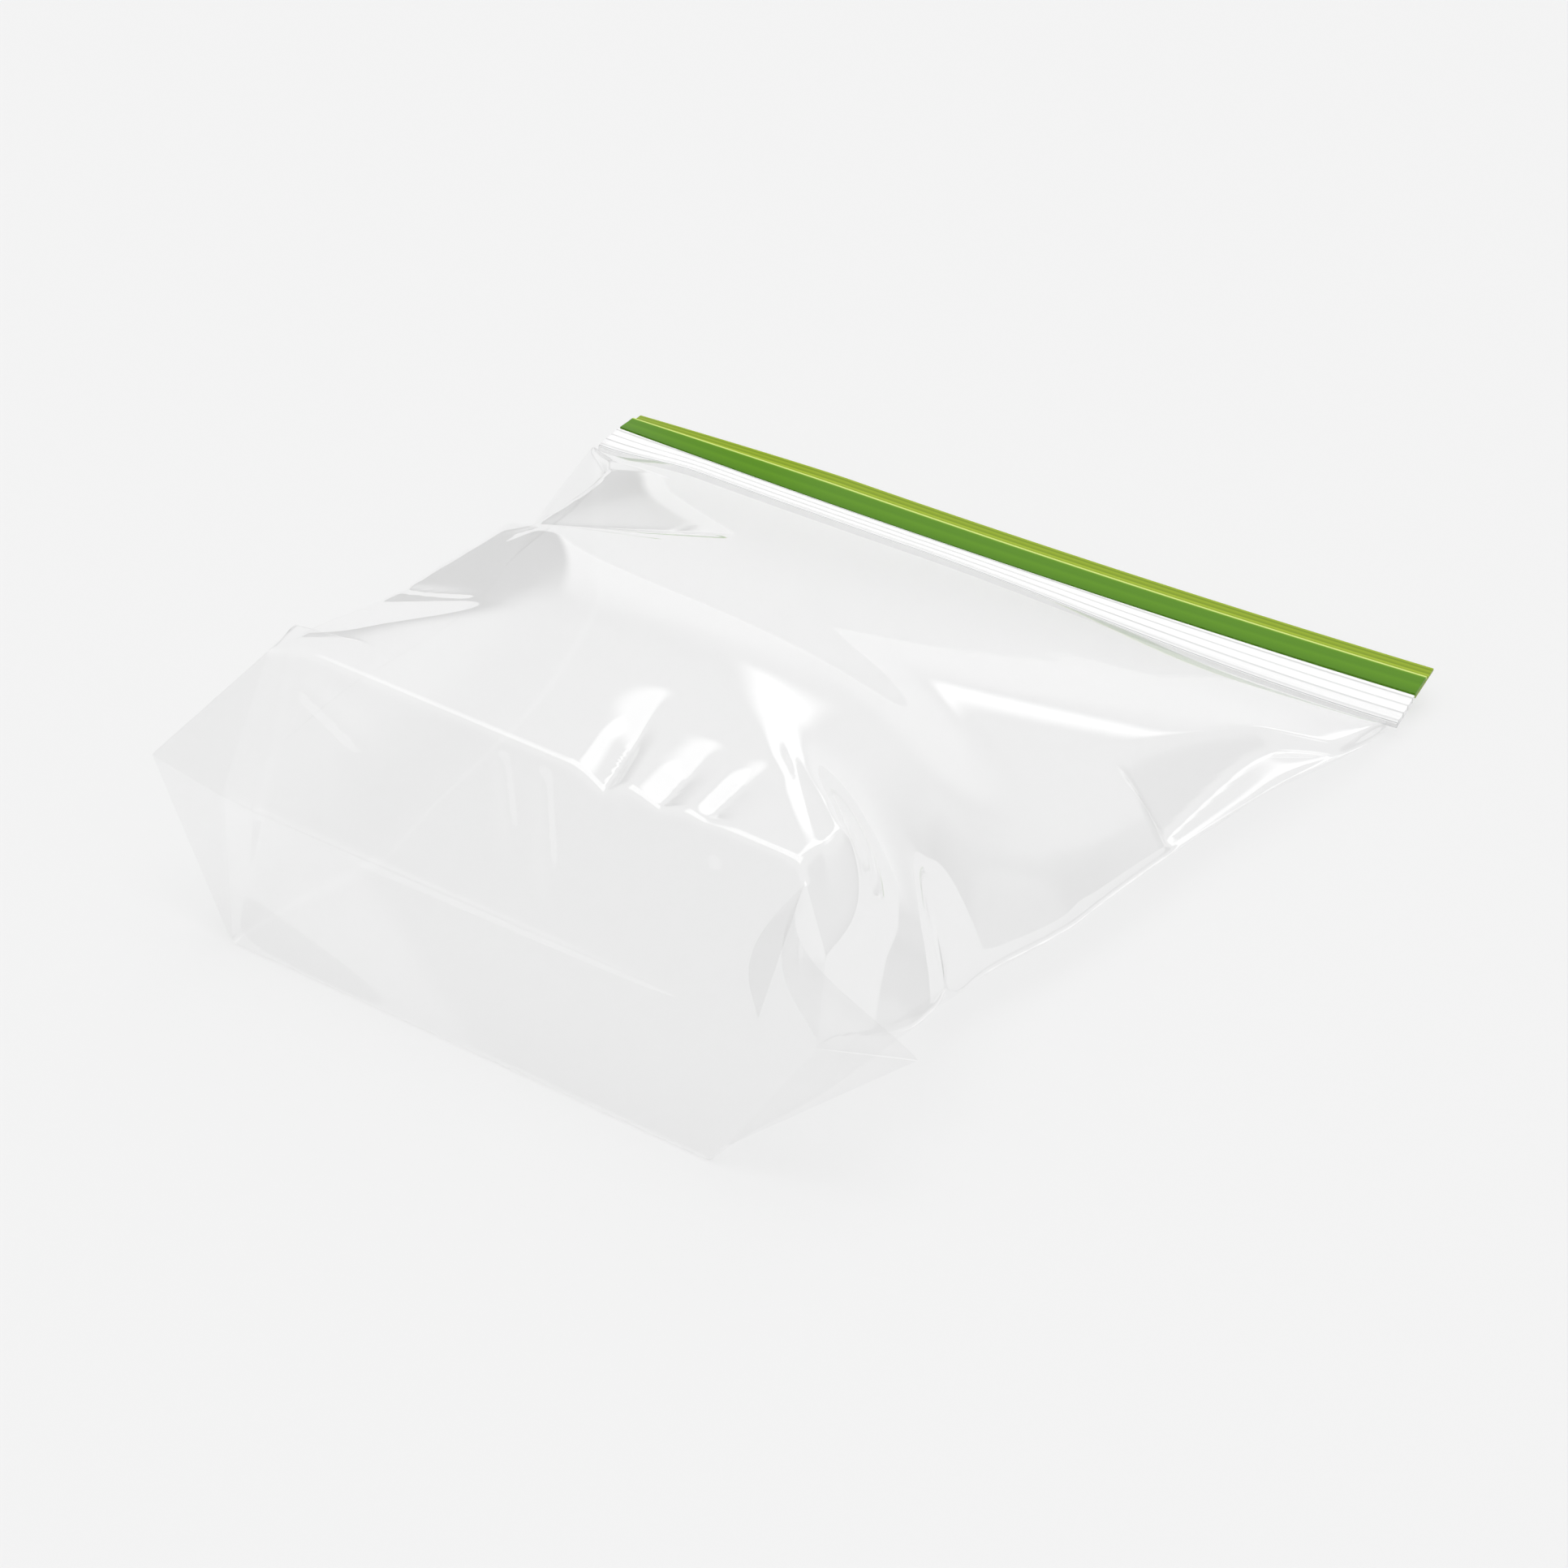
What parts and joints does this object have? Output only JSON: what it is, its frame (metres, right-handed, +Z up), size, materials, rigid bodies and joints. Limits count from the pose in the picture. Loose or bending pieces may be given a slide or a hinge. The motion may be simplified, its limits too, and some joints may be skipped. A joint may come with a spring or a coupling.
{
  "type": "freezer bag",
  "caption": "Clear press-shut freezer bag, puffed with air and lying flat, with a squared-out bottom, pointed corner ears, a ribbed clear flange and two green pull lips.",
  "frame": {"origin": "on the floor, under the middle of the bounding box", "axes": "+X across the bag along the zip, +Y from the squared bottom towards the zip, +Z up; the bag lies on its back film"},
  "size_m": [0.271, 0.3014, 0.0829],
  "materials": {
    "film": "clear thin polyethylene film, smooth and glossy, filled with air",
    "flange": "thicker clear band, milky where it is doubled",
    "front_lip": "deep green tinted film, glossy",
    "back_lip": "yellow-green tinted film, glossy"
  },
  "bodies": {
    "root": {"bag_body": "film", "zip_flange": "flange", "lip_front": "front_lip", "lip_back": "back_lip"}
  },
  "joints": []
}
